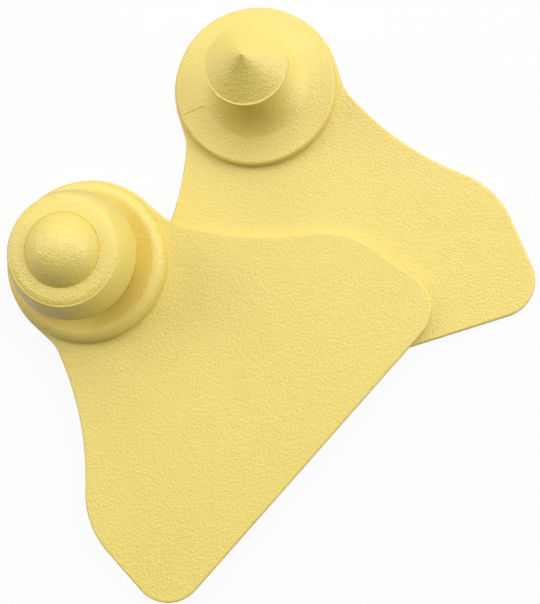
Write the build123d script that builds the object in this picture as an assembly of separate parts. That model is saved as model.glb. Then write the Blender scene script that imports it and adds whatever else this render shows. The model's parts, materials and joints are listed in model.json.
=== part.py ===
from build123d import *
import os
from math import cos, radians, sin, tan

# Two-piece livestock ear tag, unfastened: the stud half lies flat on its back and the
# socket half lies partly over it. The origin is on the stud's axis, at the back of the
# stud half. +Z is up along the stud, and the stud half's flag points along -Y.
# All sizes are in millimetres and all angles in degrees.

# Flag, the flat panel of both halves, with a round head at its top
flag_thickness = 1.4
head_radius = 12.4
neck_drop = 4.5
neck_radius = 5.0
flare_half_width = 16.7
flare_drop = 15.3
shoulder_half_width = 28.6
shoulder_drop = 25.5
shoulder_radius = 12.4
bottom_half_width = 30.2
bottom_drop = 43.7
bottom_radius = 5.4
edge_bevel = 0.3
head_ledge = 0.1
shortest_straight = 0.01

# Disc and bell-shaped foot of the stud
disc_rise = 1.5
disc_bevel = 0.5
foot_radius = 8.0
foot_height = 5.6
stem_radius = 4.2
stem_rise = 3.1
pin_bore_radius = 1.6

# Hard tip on the stem
tip_radius = 5.95
tip_land = 0.8
tip_cone_height = 3.9
tip_nose_radius = 0.3
shank_radius = 2.4
shank_length = 3.0
shank_clearance = 0.02

# Rounded collar of the socket half
collar_corner_rise = 2.9
collar_round = 1.5
dish_rise = 1.6
sleeve_clearance = 0.03

# Closed locking cap in the collar
sleeve_wall = 1.2
stem_clearance = 0.5
tip_clearance = 0.45
lip_thickness = 1.6
mouth_chamfer = 0.4
brim_radius = 9.25
brim_height = 9.4
brim_edge = 0.5
brim_underside_drop = 1.2
shoulder_corner_radius = 7.9
shoulder_corner_rise = 3.5
shoulder_round = 2.0
crown_slope_rise = 0.7
dome_radius = 5.15
dome_height = 3.5
roof_thickness = 1.4

# How the socket half lies on the stud half
lying_turn = 31.0
lying_bearing = 136.2
lying_gap = 0.5

# Sizes that follow from the ones above
disc_radius = head_radius - edge_bevel - head_ledge
disc_top = flag_thickness + disc_rise
foot_top = disc_top + foot_height
stem_top = foot_top + stem_rise
tip_edge_height = stem_top + tip_land
tip_apex_height = tip_edge_height + tip_cone_height
shank_bottom = stem_top - shank_length
socket_radius = tip_radius + tip_clearance
sleeve_radius = socket_radius + sleeve_wall
mouth_radius = stem_radius + stem_clearance
sleeve_bottom = -flag_thickness
lip_top = sleeve_bottom + lip_thickness
shoulder_corner_height = brim_height + shoulder_corner_rise
dome_foot_height = shoulder_corner_height + crown_slope_rise
dome_top = dome_foot_height + dome_height


def corner_reach(before, corner, after, radius):
    """How far from a corner of an outline an arc of this radius starts and ends."""
    turn = (before - corner).get_angle(after - corner)
    return radius / tan(radians(turn) / 2)


def rounded_corner(before, corner, after, reach):
    """Start, middle and end of the arc that rounds a corner, and the arc's centre."""
    back = (before - corner).normalized()
    ahead = (after - corner).normalized()
    half_turn = radians(back.get_angle(ahead)) / 2
    centre = corner + (back + ahead).normalized() * (reach / cos(half_turn))
    middle = centre + (corner - centre).normalized() * (reach * tan(half_turn))
    return corner + back * reach, middle, corner + ahead * reach, centre


# Corners of the right half of the flag, before they are rounded
head_side = Vector(head_radius, 0)
neck_corner = Vector(head_radius, -neck_drop)
flare_corner = Vector(flare_half_width, -flare_drop)
shoulder_corner = Vector(shoulder_half_width, -shoulder_drop)
bottom_corner = Vector(bottom_half_width, -bottom_drop)
bottom_middle = Vector(0, -bottom_drop)

# The flare's arc is as large as the arcs on its two sides leave room for, and touches one of them
neck_stretch = [head_side, neck_corner, flare_corner]
flare_stretch = [neck_corner, flare_corner, shoulder_corner]
shoulder_stretch = [flare_corner, shoulder_corner, bottom_corner]
bottom_stretch = [shoulder_corner, bottom_corner, bottom_middle]
neck_reach = corner_reach(*neck_stretch, neck_radius)
shoulder_reach = corner_reach(*shoulder_stretch, shoulder_radius)
room_above_flare = (flare_corner - neck_corner).length - neck_reach
room_below_flare = (shoulder_corner - flare_corner).length - shoulder_reach
flare_reach = min(room_above_flare, room_below_flare)
neck_arc = rounded_corner(*neck_stretch, neck_reach)
flare_arc = rounded_corner(*flare_stretch, flare_reach)
shoulder_arc = rounded_corner(*shoulder_stretch, shoulder_reach)
bottom_arc = rounded_corner(*bottom_stretch, corner_reach(*bottom_stretch, bottom_radius))


def flag():
    """Flat panel with a flaring neck, broad shoulders and rounded bottom corners."""
    side_arcs = [neck_arc, flare_arc, shoulder_arc, bottom_arc]
    half = Curve() + [Line(head_side, neck_arc[0])] + [ThreePointArc(*arc[:3]) for arc in side_arcs]
    for arc, following in zip(side_arcs, side_arcs[1:]):
        if (following[0] - arc[2]).length > shortest_straight:
            half += Line(arc[2], following[0])
    bottom = Line(bottom_arc[2], Vector(-bottom_arc[2].X, -bottom_drop))
    head = ThreePointArc(head_side, Vector(0, head_radius), -head_side)
    outline = make_face(half + mirror(half, Plane.YZ) + [bottom, head])
    panel = extrude(outline, flag_thickness)
    rims = panel.edges().group_by(Axis.Z)
    return chamfer(rims[0] + rims[-1], edge_bevel)


def turned(outline):
    """Solid of revolution about the Z axis of a closed outline of lines and curves."""
    return revolve(Plane.XZ * make_face(outline), Axis.Z)


def make_male_tag():
    """Flag, disc, bell-shaped foot and stem, moulded in one piece around the pin bore."""
    base = flag_thickness / 2
    shape = Curve() + [
        Line((0, base), (disc_radius, base)),
        Line((disc_radius, base), (disc_radius, disc_top - disc_bevel)),
        Line((disc_radius, disc_top - disc_bevel), (disc_radius - disc_bevel, disc_top)),
        Line((disc_radius - disc_bevel, disc_top), (foot_radius, disc_top)),
        TangentArc((stem_radius, foot_top), (foot_radius, disc_top), tangent=(0, -1)),
        Line((stem_radius, foot_top), (stem_radius, stem_top)),
        Line((stem_radius, stem_top), (0, stem_top)),
        Line((0, stem_top), (0, base)),
    ]
    pin_bore = extrude(Circle(pin_bore_radius), shank_bottom)
    shank_seat = Pos(0, 0, shank_bottom) * extrude(Circle(shank_radius + shank_clearance), shank_length)
    return turned(shape) + flag() - pin_bore - shank_seat


def make_stud_tip():
    """Hard pointed tip: a cone with a short land and a barb edge, on a shank in the stem."""
    cone_angle = Vector(tip_radius, 0).get_angle(Vector(tip_radius, tip_cone_height))
    nose_side = Vector(sin(radians(cone_angle)), cos(radians(cone_angle))) * tip_nose_radius
    nose_centre = tip_apex_height - tip_nose_radius / cos(radians(cone_angle))
    nose_start = (nose_side.X, nose_centre + nose_side.Y)
    nose_end = (0, nose_centre + tip_nose_radius)
    shape = Curve() + [
        Line((0, shank_bottom), (shank_radius, shank_bottom)),
        Line((shank_radius, shank_bottom), (shank_radius, stem_top)),
        Line((shank_radius, stem_top), (tip_radius, stem_top)),
        Line((tip_radius, stem_top), (tip_radius, tip_edge_height)),
        Line((tip_radius, tip_edge_height), nose_start),
        RadiusArc(nose_start, nose_end, -tip_nose_radius),
        Line(nose_end, (0, shank_bottom)),
    ]
    return turned(shape)


def make_female_tag():
    """Flag with a rounded, dished collar, moulded in one piece around the locking cap."""
    base = flag_thickness / 2
    foot = Vector(disc_radius, base)
    corner = Vector(disc_radius, flag_thickness + collar_corner_rise)
    dish = Vector(sleeve_radius, flag_thickness + dish_rise)
    crest = rounded_corner(foot, corner, dish, corner_reach(foot, corner, dish, collar_round))
    shape = Curve() + [
        Line((0, base), foot),
        Line(foot, crest[0]),
        ThreePointArc(*crest[:3]),
        Line(crest[2], dish),
        Line(dish, (0, dish.Y)),
        Line((0, dish.Y), (0, base)),
    ]
    bore = extrude(Circle(sleeve_radius + sleeve_clearance), corner.Y)
    return turned(shape) + flag() - bore


def make_locking_cap():
    """Closed stepped cap: sleeve, overhanging brim, rounded shoulder and dome, hollow inside."""
    brim_bottom = brim_height - brim_edge
    neck_top = brim_bottom - brim_underside_drop
    brim = Vector(brim_radius, brim_height)
    corner = Vector(shoulder_corner_radius, shoulder_corner_height)
    dome_foot = Vector(dome_radius, dome_foot_height)
    shoulder = rounded_corner(brim, corner, dome_foot, corner_reach(brim, corner, dome_foot, shoulder_round))
    outside = Curve() + [
        Line((0, sleeve_bottom), (sleeve_radius, sleeve_bottom)),
        Line((sleeve_radius, sleeve_bottom), (sleeve_radius, neck_top)),
        Line((sleeve_radius, neck_top), (brim_radius, brim_bottom)),
        Line((brim_radius, brim_bottom), brim),
        Line(brim, shoulder[0]),
        ThreePointArc(*shoulder[:3]),
        Line(shoulder[2], dome_foot),
        TangentArc((0, dome_top), dome_foot, tangent=(1, 0)),
        Line((0, dome_top), (0, sleeve_bottom)),
    ]
    roof_top = dome_top - roof_thickness
    ceiling = dome_foot_height - roof_thickness
    wall_top = ceiling - (dome_foot_height - brim_height) / 2
    crown_radius = dome_radius - roof_thickness
    inside = Curve() + [
        Line((0, lip_top), (socket_radius, lip_top)),
        Line((socket_radius, lip_top), (socket_radius, wall_top)),
        Line((socket_radius, wall_top), (crown_radius, ceiling)),
        Line((crown_radius, ceiling), (0, roof_top)),
        Line((0, roof_top), (0, lip_top)),
    ]
    mouth = Pos(0, 0, sleeve_bottom) * extrude(Circle(mouth_radius), lip_thickness)
    lead_in = Pos(0, 0, sleeve_bottom + mouth_chamfer / 2) * Cone(
        mouth_radius + mouth_chamfer, mouth_radius, mouth_chamfer
    )
    return turned(outside) - turned(inside) - mouth - lead_in


# The socket half lies with its sleeve beside the stud half's left shoulder and its flag
# face to face on the stud half's flag
shoulder_centre = Vector(-shoulder_arc[3].X, shoulder_arc[3].Y)
lying_reach = shoulder_radius + sleeve_radius + lying_gap
lying_direction = Vector(cos(radians(lying_bearing)), sin(radians(lying_bearing)))
lying_centre = shoulder_centre + lying_direction * lying_reach
lying = Pos(lying_centre.X, lying_centre.Y, flag_thickness) * Rot(0, 0, lying_turn)

nodes = {
    "male_tag": make_male_tag(),
    "stud_tip": make_stud_tip(),
    "female_tag": lying * make_female_tag(),
    "locking_cap": lying * make_locking_cap(),
}

os.makedirs("parts", exist_ok=True)
for name, shape in nodes.items():
    export_step(shape, f"parts/{name}.step")
    print(name, round(shape.volume, 1), "mm3")
print("socket half at", round(lying_centre.X, 2), round(lying_centre.Y, 2))
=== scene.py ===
# %% [markdown]
# # A two-piece livestock ear tag
# The tag is two yellow mouldings that snap together through an animal's ear. Here they lie
# unfastened: the stud half flat on its back, and the socket half partly over it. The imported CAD
# model says where each piece is, and this lesson models each one again, finely enough for a
# close look. We load the CAD model first and note its box, because nothing may grow beyond it.

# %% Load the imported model
import json
from math import cos, pi, radians, sin

import bmesh
import bpy
from mathutils import Matrix, Vector


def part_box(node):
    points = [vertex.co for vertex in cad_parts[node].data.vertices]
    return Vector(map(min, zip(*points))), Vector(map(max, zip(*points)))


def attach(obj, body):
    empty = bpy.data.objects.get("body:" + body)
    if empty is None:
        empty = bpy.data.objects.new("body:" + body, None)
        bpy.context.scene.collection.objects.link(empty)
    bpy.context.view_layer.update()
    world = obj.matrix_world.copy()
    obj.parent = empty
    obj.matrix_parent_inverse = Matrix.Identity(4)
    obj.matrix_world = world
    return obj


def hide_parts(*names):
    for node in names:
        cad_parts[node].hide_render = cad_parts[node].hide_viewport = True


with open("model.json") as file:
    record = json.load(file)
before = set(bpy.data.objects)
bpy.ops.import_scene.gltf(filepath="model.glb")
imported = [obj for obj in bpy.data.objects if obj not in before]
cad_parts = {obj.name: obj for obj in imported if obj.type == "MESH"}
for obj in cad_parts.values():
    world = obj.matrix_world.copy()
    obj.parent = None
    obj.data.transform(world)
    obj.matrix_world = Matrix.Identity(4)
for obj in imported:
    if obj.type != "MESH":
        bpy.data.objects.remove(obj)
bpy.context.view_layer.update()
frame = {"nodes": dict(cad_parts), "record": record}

for node in sorted(frame["nodes"]):
    low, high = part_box(node)
    print(node, "lies between", low, "and", high)

# %% [markdown]
# ## Sizes
# Whatever the CAD boxes tell is read from them: the flag's thickness is the height at which the
# upper flag lies on the lower one, and the heads stand on the stud's axis and on the socket's
# mount. The other sizes are named here once, in metres. A radius names a size on a turned piece,
# and a rise is measured from the surface below it.

# %% Sizes of the flags
mm = 0.001
male_low, male_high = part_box("male_tag")
mounts = {mount["name"]: mount for mount in frame["record"]["mounts"]}
stud_axis = Vector((0, 0))
socket_axis = Vector(mounts["stud_socket"]["pos_m"][:2])
lying_turn = radians(31)

flag_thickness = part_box("female_tag")[0].z
bottom_half_width = 30.2 * mm
bottom_drop = -male_low.y
head_radius = male_high.y
neck_drop = 4.5 * mm
neck_radius = 5.0 * mm
flare_half_width = 16.7 * mm
flare_drop = 15.3 * mm
shoulder_half_width = 28.6 * mm
shoulder_drop = 25.5 * mm
shoulder_radius = 12.4 * mm
bottom_radius = 5.4 * mm
edge_round = 0.3 * mm
shading_ring = 0.25 * mm
print("flag", bottom_half_width * 2 / mm, "mm wide and", flag_thickness / mm, "mm thick")

# %% [markdown]
# ## Arcs and drawn lines
# Turned and flat pieces both start as a line that is drawn point by point, as a pencil does.
# A moulding has few sharp corners, so one tool gives the arc that rounds a corner, and another
# the arc that leaves a point in a given direction and ends at a second point. Both swing a point
# round a centre.

# %% Arcs
def swung(centre, start, sweep, steps):
    """Points that the start passes as it swings clockwise round the centre."""
    turns = [Matrix.Rotation(-sweep * step / steps, 2) for step in range(steps + 1)]
    return [centre + turn @ (start - centre) for turn in turns]


def rounded(before, corner, after, reach, steps):
    """Points of the arc that rounds a corner and touches both its sides at this reach."""
    back = (before - corner).normalized()
    ahead = (after - corner).normalized()
    half_turn = back.angle(ahead) / 2
    centre = corner + (back + ahead).normalized() * (reach / cos(half_turn))
    start, end = corner + back * reach, corner + ahead * reach
    return swung(centre, start, (start - centre).angle_signed(end - centre), steps)


def arc(start, leaving, end, steps):
    """Points of the arc that leaves the start in one direction and comes to the end."""
    start, leaving, end = Vector(start), Vector(leaving).normalized(), Vector(end)
    side = Vector((-leaving.y, leaving.x))
    chord = end - start
    centre = start + side * (chord.length_squared / (2 * chord.dot(side)))
    return swung(centre, start, 2 * leaving.angle_signed(chord), steps)


# %% [markdown]
# To draw such a line in Blender, a small plane is merged into one vertex, which is moved to the
# first point and then extruded onwards from point to point.

# %% Drawn lines
def draw_line(name, points):
    """A chain of edges through the points, drawn by extruding one vertex again and again."""
    bpy.ops.object.select_all(action="DESELECT")
    bpy.ops.mesh.primitive_plane_add(size=mm)
    piece = bpy.context.object
    piece.name = piece.data.name = name
    bpy.ops.object.mode_set(mode="EDIT")
    bpy.ops.mesh.select_mode(type="VERT")
    bpy.ops.mesh.select_all(action="SELECT")
    bpy.ops.mesh.merge(type="CENTER")
    bpy.ops.transform.translate(value=points[0])
    for point, following in zip(points, points[1:]):
        bpy.ops.mesh.extrude_vertices_move(TRANSFORM_OT_translate={"value": following - point})
    bpy.ops.mesh.select_all(action="SELECT")
    return piece


# %% [markdown]
# ## The flag
# Both halves have the same flag: a flat panel with a flaring neck and broad shoulders, punched
# or moulded 1.4 mm thick. We draw half of its outline with rounded corners, mirror the points,
# close the line with a face, and extrude that. Bevelling both rims gives the softly rounded
# edge. The flat faces are then inset a little: the narrow new ring takes up the change of
# shading, and the wide face stays evenly lit.

# %% Outline of a flag
def reach_of(before, corner, after, radius):
    """How far from a corner an arc of this radius touches the corner's sides."""
    half_turn = (before - corner).angle(after - corner) / 2
    return radius * cos(half_turn) / cos(pi / 2 - half_turn)


def flag_outline():
    """Points round the flag, from the right side of its head, clockwise as seen from above."""
    corners = [
        Vector((head_radius, 0)),
        Vector((head_radius, -neck_drop)),
        Vector((flare_half_width, -flare_drop)),
        Vector((shoulder_half_width, -shoulder_drop)),
        Vector((bottom_half_width, -bottom_drop)),
        Vector((0, -bottom_drop)),
    ]
    neck, flare, shoulder, bottom = zip(corners, corners[1:], corners[2:])
    shoulder_reach = reach_of(*shoulder, shoulder_radius)
    flare_reach = (shoulder[1] - flare[1]).length - shoulder_reach
    half = rounded(*neck, reach_of(*neck, neck_radius), steps=12)
    half += rounded(*flare, flare_reach, steps=40)
    half += rounded(*shoulder, shoulder_reach, steps=40)[1:]
    half += rounded(*bottom, reach_of(*bottom, bottom_radius), steps=24)
    other = [Vector((-point.x, point.y)) for point in reversed(half)]
    return half + other + swung(Vector((0, 0)), Vector((-head_radius, 0)), pi, steps=120)


outline = flag_outline()
print("a flag's outline has", len(outline), "points")

# %% Choose parts of a mesh by their place
height_tolerance = 0.01 * mm
nearly_upright = 0.999


def choose(piece, kind, test):
    """In edit mode, selects only the edges or faces that pass the test."""
    bpy.ops.mesh.select_mode(type={"edges": "EDGE", "faces": "FACE"}[kind])
    bpy.ops.mesh.select_all(action="DESELECT")
    mesh = bmesh.from_edit_mesh(piece.data)
    for part in getattr(mesh, kind):
        if test(part):
            part.select_set(True)
    mesh.select_flush_mode()
    bmesh.update_edit_mesh(piece.data)


def level(edge):
    """True for an edge that runs at one height."""
    return abs(edge.verts[0].co.z - edge.verts[1].co.z) < height_tolerance


def flat(face):
    """True for a face that looks straight up or down."""
    return abs(face.normal.z) > nearly_upright


# %% Raise a flag from its outline
weld_distance = 0.001 * mm


def make_flag(name, axis, turn, height):
    """A flag with rounded rims, its head on the axis, turned, with its back at the height."""
    turned = [Matrix.Rotation(turn, 2) @ point + axis for point in outline]
    piece = draw_line(name, [point.to_3d() + Vector((0, 0, height)) for point in turned])
    bpy.ops.mesh.remove_doubles(threshold=weld_distance)
    bpy.ops.mesh.select_all(action="SELECT")
    bpy.ops.mesh.edge_face_add()
    bpy.ops.mesh.extrude_region_move(TRANSFORM_OT_translate={"value": (0, 0, flag_thickness)})
    bpy.ops.mesh.select_all(action="SELECT")
    bpy.ops.mesh.normals_make_consistent(inside=False)
    choose(piece, "edges", level)
    bpy.ops.mesh.bevel(offset=edge_round, segments=5, affect="EDGES")
    choose(piece, "faces", flat)
    bpy.ops.mesh.inset(thickness=shading_ring)
    bpy.ops.object.mode_set(mode="OBJECT")
    print(name, "has", len(piece.data.polygons), "faces")
    return piece


male_tag = make_flag("male_moulding", stud_axis, 0, male_low.z)
female_tag = make_flag("female_moulding", socket_axis, lying_turn, flag_thickness)

# %% [markdown]
# ## Turned forms
# Everything on the heads is round about an axis: the disc, the bell-shaped foot, the pointed
# tip, the collar and the cap. Each is a half section that is spun round its axis, as a lathe or
# a turned mould cavity makes it. The spin leaves a seam and many points on the axis, so doubles
# are merged before the normals are turned outwards. A small bevel then breaks the sharp rims.

# %% Spin a section round an axis
def turn_section(name, axis, section, edge):
    """Spins a section of (radius, height) points, and rounds its rims by the edge."""
    centre = axis.to_3d()
    points = [centre + Vector((point[0], 0, point[1])) for point in section]
    piece = draw_line(name, points)
    bpy.ops.mesh.spin(steps=192, angle=2 * pi, center=centre, axis=(0, 0, 1))
    bpy.ops.mesh.select_all(action="SELECT")
    bpy.ops.mesh.remove_doubles(threshold=weld_distance)
    bpy.ops.mesh.normals_make_consistent(inside=False)
    bpy.ops.object.mode_set(mode="OBJECT")
    if edge:
        rim = piece.modifiers.new("rims", "BEVEL")
        rim.width = edge
        rim.segments = 3
        rim.limit_method = "ANGLE"
        rim.angle_limit = radians(25)
        bpy.ops.object.modifier_apply(modifier=rim.name)
    print(name, "has", len(piece.data.polygons), "faces")
    return piece


# %% Join or cut away another solid
def combine(piece, other, operation):
    """Joins the other solid to the piece, or cuts it away, and deletes the other."""
    bpy.ops.object.select_all(action="DESELECT")
    bpy.context.view_layer.objects.active = piece
    joint = piece.modifiers.new("joint", "BOOLEAN")
    joint.operation = operation
    joint.solver = "EXACT"
    joint.object = other
    bpy.ops.object.modifier_apply(modifier=joint.name)
    bpy.data.objects.remove(other)


# %% [markdown]
# ## The stud
# A thick disc spreads the pull over the ear, and a bell-shaped foot carries the stem. The
# section runs along the disc's rounded rim and up the bell, which is one arc that starts level
# with the stem.

# %% Disc, foot and stem
fine_edge = 0.08 * mm
disc_radius = head_radius - edge_round - 0.1 * mm
disc_top = flag_thickness + 1.5 * mm
disc_round = 0.5 * mm
foot_radius = 8.0 * mm
foot_top = disc_top + 5.6 * mm
stem_radius = 4.2 * mm
stem_top = male_high.z
base = flag_thickness / 2

rim_start = (disc_radius, disc_top - disc_round)
rim_end = (disc_radius - disc_round, disc_top)
disc_rim = arc(rim_start, (0, 1), rim_end, steps=8)
bell = arc((stem_radius, foot_top), (0, -1), (foot_radius, disc_top), steps=40)
stud_section = [(0, base), (disc_radius, base), *disc_rim, *reversed(bell)]
stud_section += [(stem_radius, stem_top), (0, stem_top)]
stud = turn_section("stud", stud_axis, stud_section, fine_edge)
combine(male_tag, stud, "UNION")

# %% [markdown]
# The applicator's pin enters from the back, so a bore and the seat of the hard tip's shank are
# cut away. Where two streams of molten plastic met in the mould, they left a hair-thin line on
# the disc, which a thin bar cuts.

# %% Pin bore and seat of the tip's shank
pin_bore_radius = 1.6 * mm
shank_radius = 2.4 * mm
seat_radius = shank_radius + 0.02 * mm
shank_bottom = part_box("stud_tip")[0].z
seat_section = [
    (0, -base), (pin_bore_radius, -base), (pin_bore_radius, shank_bottom),
    (seat_radius, shank_bottom), (seat_radius, stem_top + base), (0, stem_top + base),
]
bore = turn_section("bore", stud_axis, seat_section, 0)
combine(male_tag, bore, "DIFFERENCE")

# %% Flow line on the disc
flow_line_start = foot_radius + 0.1 * mm
flow_line_length = 3.2 * mm
flow_line_width = 0.15 * mm
flow_line_depth = 0.10 * mm
flow_line_bearing = radians(-176)

bpy.ops.object.select_all(action="DESELECT")
bpy.ops.mesh.primitive_cube_add(size=1)
flow_line = bpy.context.object
flow_line.scale = (flow_line_length, flow_line_width, 2 * flow_line_depth)
flow_line.rotation_euler.z = flow_line_bearing
flow_line_middle = Vector((flow_line_start + flow_line_length / 2, 0))
flow_line_middle = Matrix.Rotation(flow_line_bearing, 2) @ flow_line_middle + stud_axis
flow_line.location = (*flow_line_middle, disc_top)
combine(male_tag, flow_line, "DIFFERENCE")
print("stud half has", len(male_tag.data.polygons), "faces")

# %% [markdown]
# ## The hard tip
# The tip pierces the ear and then holds behind the socket's lip, so it is a sharp cone with a
# barb edge. The land under the cone is upright, and a narrow ledge on top of it catches the
# light as a thin line.

# %% Hard tip
tip_edge = 0.06 * mm
tip_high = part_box("stud_tip")[1]
tip_radius = tip_high.x
tip_edge_height = stem_top + 0.8 * mm
cone_height = 3.9 * mm
nose_radius = 0.3 * mm
ledge = 0.3 * mm
cone_foot = Vector((tip_radius - ledge, tip_edge_height))
cone_slope = Vector((cone_foot.x, -cone_height)).normalized()
nose_start = Vector((0, tip_high.z)) + cone_slope * nose_radius
nose = arc((0, tip_high.z), (1, 0), nose_start, steps=6)
tip_section = [
    *nose, cone_foot, (tip_radius, tip_edge_height), (tip_radius, stem_top),
    (shank_radius, stem_top), (shank_radius, shank_bottom), (0, shank_bottom),
]
hard_tip = turn_section("hard_tip", stud_axis, tip_section, tip_edge)

# %% [markdown]
# ## The collar
# Round the socket the soft moulding rises to a thick collar that grips the cap. Its crest is
# rounded, and from there the top sinks a little towards the cap, as a dish. The section needs
# only a corner between the wall and the dish, which is then rounded. The bore takes the sleeve.

# %% Collar of the socket half
sleeve_radius = 7.6 * mm
collar_corner_rise = 2.9 * mm
collar_round = 1.5 * mm
dish_rise = 1.6 * mm
flag_top = 2 * flag_thickness

collar_foot = Vector((disc_radius, flag_thickness + base))
collar_corner = Vector((disc_radius, flag_top + collar_corner_rise))
dish = Vector((sleeve_radius, flag_top + dish_rise))
collar_reach = reach_of(collar_foot, collar_corner, dish, collar_round)
crest = rounded(collar_foot, collar_corner, dish, collar_reach, steps=24)
collar_section = [(0, collar_foot.y), collar_foot, *crest, dish, (0, dish.y)]
collar = turn_section("collar", socket_axis, collar_section, 0)
combine(female_tag, collar, "UNION")

# %% Bore for the cap's sleeve
bore_radius = sleeve_radius + 0.03 * mm
bore_top = collar_corner.y
bore_section = [(0, 0), (bore_radius, 0), (bore_radius, bore_top), (0, bore_top)]
sleeve_bore = turn_section("sleeve_bore", socket_axis, bore_section, 0)
combine(female_tag, sleeve_bore, "DIFFERENCE")

# %% [markdown]
# ## The locking cap
# The socket half carries a closed hard cap, so that no dirt reaches the stud's tip. Its section
# runs from the dome's top down over the rounded shoulder and the overhanging brim to the sleeve's
# mouth, and back up inside over the locking lip into the hollow crown. Spun round in one go, it
# is a closed shell with a real wall. A fine crease runs round the dome's foot, and a fine bead
# on the shoulder marks where the mould parted.

# %% A fine bead on a line
def with_bead(points, first, last, rise):
    """The same points, with those between the first and the last raised into a fine bead."""
    raised = list(points)
    for step in range(first + 1, last):
        along = (points[step + 1] - points[step - 1]).normalized()
        outwards = Vector((-along.y, along.x))
        raised[step] = points[step] + outwards * rise * sin(pi * (step - first) / (last - first))
    return raised


# %% Outside of the cap
cap_low, cap_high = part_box("locking_cap")
brim_radius = (cap_high.x - cap_low.x) / 2
brim_height = 9.4 * mm
brim_bottom = brim_height - 0.5 * mm
neck_top = brim_bottom - 1.2 * mm
dome_radius = 5.15 * mm
dome_foot_height = brim_height + 4.2 * mm
dome_top = cap_high.z - flag_thickness
crease_width = 0.17 * mm
crease_depth = 0.16 * mm
shoulder_corner_radius = 7.9 * mm
shoulder_round = 2.0 * mm
crown_drop = 0.3 * mm
sleeve_bottom = -flag_thickness

brim = Vector((brim_radius, brim_height))
shoulder_corner = Vector((shoulder_corner_radius, dome_foot_height - crown_drop))
dome_foot = Vector((dome_radius, dome_foot_height))
crease = dome_foot + Vector((0.03 * mm, -crease_depth))
crown_start = dome_foot + Vector((crease_width, 0))
shoulder_reach = reach_of(crown_start, shoulder_corner, brim, shoulder_round)
shoulder = rounded(crown_start, shoulder_corner, brim, shoulder_reach, steps=32)
shoulder = with_bead(shoulder, first=14, last=21, rise=0.1 * mm)
dome = arc((0, dome_top), (1, 0), dome_foot, steps=40)
cap_outside = [*dome, crease, crown_start, *shoulder, brim, (brim_radius, brim_bottom)]
cap_outside += [(sleeve_radius, neck_top), (sleeve_radius, sleeve_bottom)]

# %% Inside of the cap
mouth_radius = 4.7 * mm
mouth_chamfer = 0.4 * mm
lip_top = sleeve_bottom + 1.6 * mm
socket_radius = 6.4 * mm
roof_thickness = 1.4 * mm
ceiling = dome_foot_height - roof_thickness
wall_top = ceiling - (dome_foot_height - brim_height) / 2
crown_radius = dome_radius - roof_thickness

cap_inside = [
    (mouth_radius + mouth_chamfer, sleeve_bottom), (mouth_radius, sleeve_bottom + mouth_chamfer),
    (mouth_radius, lip_top), (socket_radius, lip_top), (socket_radius, wall_top),
    (crown_radius, ceiling), (0, dome_top - roof_thickness),
]
cap_section = cap_outside + cap_inside
cap_section = [(radius, height + flag_thickness) for radius, height in cap_section]
closed_cap = turn_section("closed_cap", socket_axis, cap_section, fine_edge)

# %% [markdown]
# ## Smooth shading
# Turned and rounded surfaces are shaded smooth, and true corners stay crisp. Shading by angle
# does both at once: only edges that turn by more than the angle are kept sharp.

# %% Shade the pieces
for piece in [male_tag, hard_tip, female_tag, closed_cap]:
    bpy.ops.object.select_all(action="DESELECT")
    piece.select_set(True)
    bpy.context.view_layer.objects.active = piece
    bpy.ops.object.shade_smooth_by_angle(angle=radians(28))
    print(piece.name, "has", len(piece.data.vertices), "vertices")

# %% [markdown]
# ## Writing shader maths
# A pattern in a material is a sum of small calculations. The first class wraps a socket, so that
# an ordinary expression such as 0.4 * drift + 0.6 * grain adds the Math nodes for it. The second
# one holds a material and adds any other node to it.

# %% Shader maths as expressions
class Value:
    """A number that varies over a surface. Maths on it adds Math nodes."""

    def __init__(self, finish, socket):
        self.finish = finish
        self.socket = socket

    def maths(self, operation, first, second):
        node = self.finish.add("ShaderNodeMath", {"operation": operation}, {0: first, 1: second})
        return Value(self.finish, node.outputs["Value"])

    def __add__(self, other):
        return self.maths("ADD", self, other)

    def __radd__(self, other):
        return self.maths("ADD", other, self)

    def __mul__(self, other):
        return self.maths("MULTIPLY", self, other)

    def __rmul__(self, other):
        return self.maths("MULTIPLY", other, self)


# %% A material and its nodes
class Finish:
    """A material with its nodes, made one node at a time."""

    def __init__(self, name):
        self.material = bpy.data.materials.new(name)
        self.material.use_nodes = True
        self.nodes = self.material.node_tree.nodes
        self.links = self.material.node_tree.links
        self.shader = self.nodes["Principled BSDF"]

    def add(self, kind, settings, sockets):
        """Adds a node, sets its settings first, then its sockets' values or links."""
        node = self.nodes.new(kind)
        for setting, value in settings.items():
            setattr(node, setting, value)
        for socket, value in sockets.items():
            self.feed(node.inputs[socket], value)
        return node

    def feed(self, socket, value):
        """Links a socket to what varies, or gives it a constant."""
        if isinstance(value, Value):
            value = value.socket
        if isinstance(value, bpy.types.NodeSocket):
            self.links.new(value, socket)
        else:
            socket.default_value = value


# %% [markdown]
# ## The yellow plastic
# Ear tags are moulded from soft polyurethane, coloured right through. The mould's spark-eroded
# faces leave a fine matt grain, and the colour drifts very slightly over a flag. Both come from
# noise on Object coordinates, so they have their real size: the grain is about 0.3 mm. The hard
# tip and cap have the same yellow and grain, with a touch more sheen, as harder plastic has.

# %% Plastic finishes
tag_yellow = (0.92, 0.74, 0.195)
tag_shade = (0.84, 0.66, 0.145)
drift_scale = 60
grain_scale = 1 / (0.33 * mm)


def noise(finish, scale, detail):
    """A noise on Object coordinates, with this many blots to a metre."""
    place = finish.add("ShaderNodeTexCoord", {}, {}).outputs["Object"]
    sockets = {"Vector": place, "Scale": scale, "Detail": detail}
    return Value(finish, finish.add("ShaderNodeTexNoise", {}, sockets).outputs["Fac"])


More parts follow.
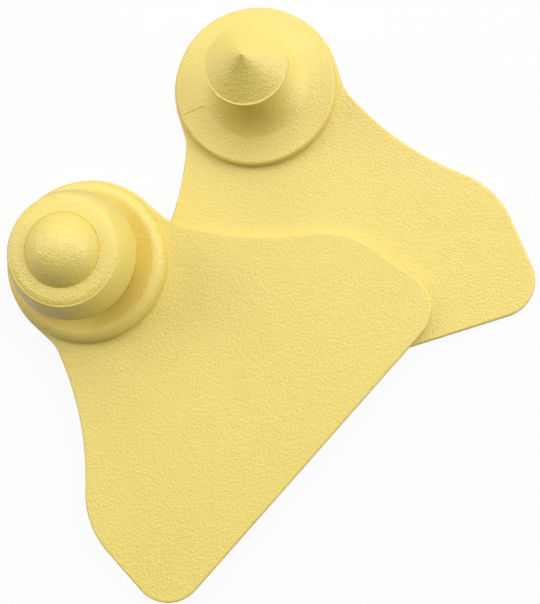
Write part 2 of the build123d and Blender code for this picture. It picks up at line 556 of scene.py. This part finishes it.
def plastic(name, roughness, grain_depth):
    """Yellow moulded plastic with a fine grain and a slow drift of its colour."""
    finish = Finish(name)
    drift = noise(finish, drift_scale, detail=2)
    grain = noise(finish, grain_scale, detail=3)
    tint = finish.add(
        "ShaderNodeMix", {"data_type": "RGBA"},
        {"Factor": 0.4 * drift + 0.6 * grain, "A": (*tag_shade, 1), "B": (*tag_yellow, 1)},
    )
    bump = finish.add(
        "ShaderNodeBump", {}, {"Height": grain, "Distance": grain_depth, "Strength": 1.0}
    )
    finish.feed(finish.shader.inputs["Base Color"], tint.outputs["Result"])
    finish.feed(finish.shader.inputs["Normal"], bump.outputs["Normal"])
    finish.feed(finish.shader.inputs["Roughness"], roughness + 0.1 * grain)
    finish.shader.inputs["Specular IOR Level"].default_value = 0.8
    return finish.material


soft_plastic = plastic("grained_yellow", roughness=0.35, grain_depth=0.12 * mm)
hard_plastic = plastic("satin_yellow", roughness=0.34, grain_depth=0.13 * mm)
print("made", soft_plastic.name, "and", hard_plastic.name)

# %% [markdown]
# ## Dress and place
# Each piece stands for its CAD node, which is hidden, rides on the model's only body, and names
# the material slot that its finish comes from.

# %% Give each piece its finish and its body
dressed = [
    (male_tag, "male_tag", soft_plastic, "tag_plastic"),
    (hard_tip, "stud_tip", hard_plastic, "hard_plastic"),
    (female_tag, "female_tag", soft_plastic, "tag_plastic"),
    (closed_cap, "locking_cap", hard_plastic, "hard_plastic"),
]
for piece, node, finish, slot in dressed:
    piece.data.materials.clear()
    piece.data.materials.append(finish)
    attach(piece, "root")
    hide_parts(node)
    print(piece.name, "stands for", node)

# %% [markdown]
# ## The floor
# The tag lies on a plain white sheet. To the camera the floor shows mostly its own white, mixed
# with a little of the lit floor, which keeps a faint shadow. Glossy and clear things would see
# part of that white too. To all other light the sheet is a middle grey, so that it doesn't fill
# the dark sides of the heads.

# %% White floor
floor_width = 4
floor_gap = 0.02 * mm
white_for_camera = 0.92
white_in_reflections = 0.3
sheet_grey = 0.45
brighter_for_camera = 0.4

bpy.ops.object.select_all(action="DESELECT")
bpy.ops.mesh.primitive_plane_add(size=floor_width, location=(0, 0, -floor_gap))
floor = bpy.context.object
floor.name = "floor"
paper = Finish("white_paper")
seen = paper.add("ShaderNodeLightPath", {}, {})
glow = paper.add("ShaderNodeEmission", {}, {"Color": (1, 1, 1, 1), "Strength": 1.0})
camera_ray = Value(paper, seen.outputs["Is Camera Ray"])
glossy_ray = Value(paper, seen.outputs["Is Glossy Ray"])
clear_ray = Value(paper, seen.outputs["Is Transmission Ray"])
shown = camera_ray * white_for_camera + (glossy_ray + clear_ray) * white_in_reflections
sheet = paper.add(
    "ShaderNodeMixShader", {}, {0: shown, 1: paper.shader.outputs[0], 2: glow.outputs[0]}
)
paper.feed(paper.shader.inputs["Base Color"], camera_ray * brighter_for_camera + sheet_grey)
paper.shader.inputs["Roughness"].default_value = 0.9
paper.feed(paper.nodes["Material Output"].inputs["Surface"], sheet.outputs[0])
floor.data.materials.append(paper.material)

# %% [markdown]
# ## Light
# Soft lamps stand round the tag a metre away, at the back, left and right, and overhead: they
# shape the heads and leave the sides towards the viewer darker. The floor and a very dim sky
# fill those in.

# %% Soft light
world = bpy.data.worlds.new("sky")
bpy.context.scene.world = world
world.use_nodes = True
sky = world.node_tree.nodes["Background"]
sky.inputs["Color"].default_value = (1, 1, 1, 1)
sky.inputs["Strength"].default_value = 0.05

lamp_aim = Vector((-15, -25, 0)) * mm
lamp_distance = 1.0
lamp_size = 0.6


def soft_lamp(name, bearing, rise, power):
    """A square soft lamp that shines on the tag from a bearing and a rise, in degrees."""
    away = Vector((cos(radians(bearing)), sin(radians(bearing)))) * cos(radians(rise))
    place = lamp_aim + away.to_3d() * lamp_distance
    place.z = sin(radians(rise)) * lamp_distance
    lamp = bpy.data.lights.new(name, "AREA")
    lamp.size = lamp_size
    lamp.energy = power
    holder = bpy.data.objects.new(name, lamp)
    holder.location = place
    holder.rotation_euler = (lamp_aim - place).to_track_quat("-Z", "Y").to_euler()
    bpy.context.collection.objects.link(holder)
    print(name, "lamp at", place)


soft_lamp("shine", bearing=-8, rise=30, power=5.2)
soft_lamp("back_right", bearing=40, rise=35, power=2.2)
soft_lamp("back", bearing=85, rise=35, power=2.2)
soft_lamp("back_left", bearing=146, rise=35, power=3.9)
soft_lamp("high_back", bearing=60, rise=62, power=2.2)
soft_lamp("overhead", bearing=0, rise=90, power=1.4)

# %% [markdown]
# ## Camera
# The camera looks down almost square to the flags and a little from the right, as in the
# photograph. Its place, turn and focal length were fitted to the rims of the heads and the
# outlines of the flags. The near clipping distance is short, because the tag is small.

# %% Camera
eye = bpy.data.cameras.new("eye")
eye.lens = 59.6
eye.clip_start = 0.01
camera = bpy.data.objects.new("eye", eye)
camera.location = (4.576 * mm, -50.370 * mm, 145.459 * mm)
camera.rotation_euler = (radians(5.75), radians(6.83), radians(-17.31))
bpy.context.collection.objects.link(camera)
bpy.context.scene.camera = camera
bpy.context.scene.view_settings.view_transform = "Standard"
print("the camera stands at", camera.location)
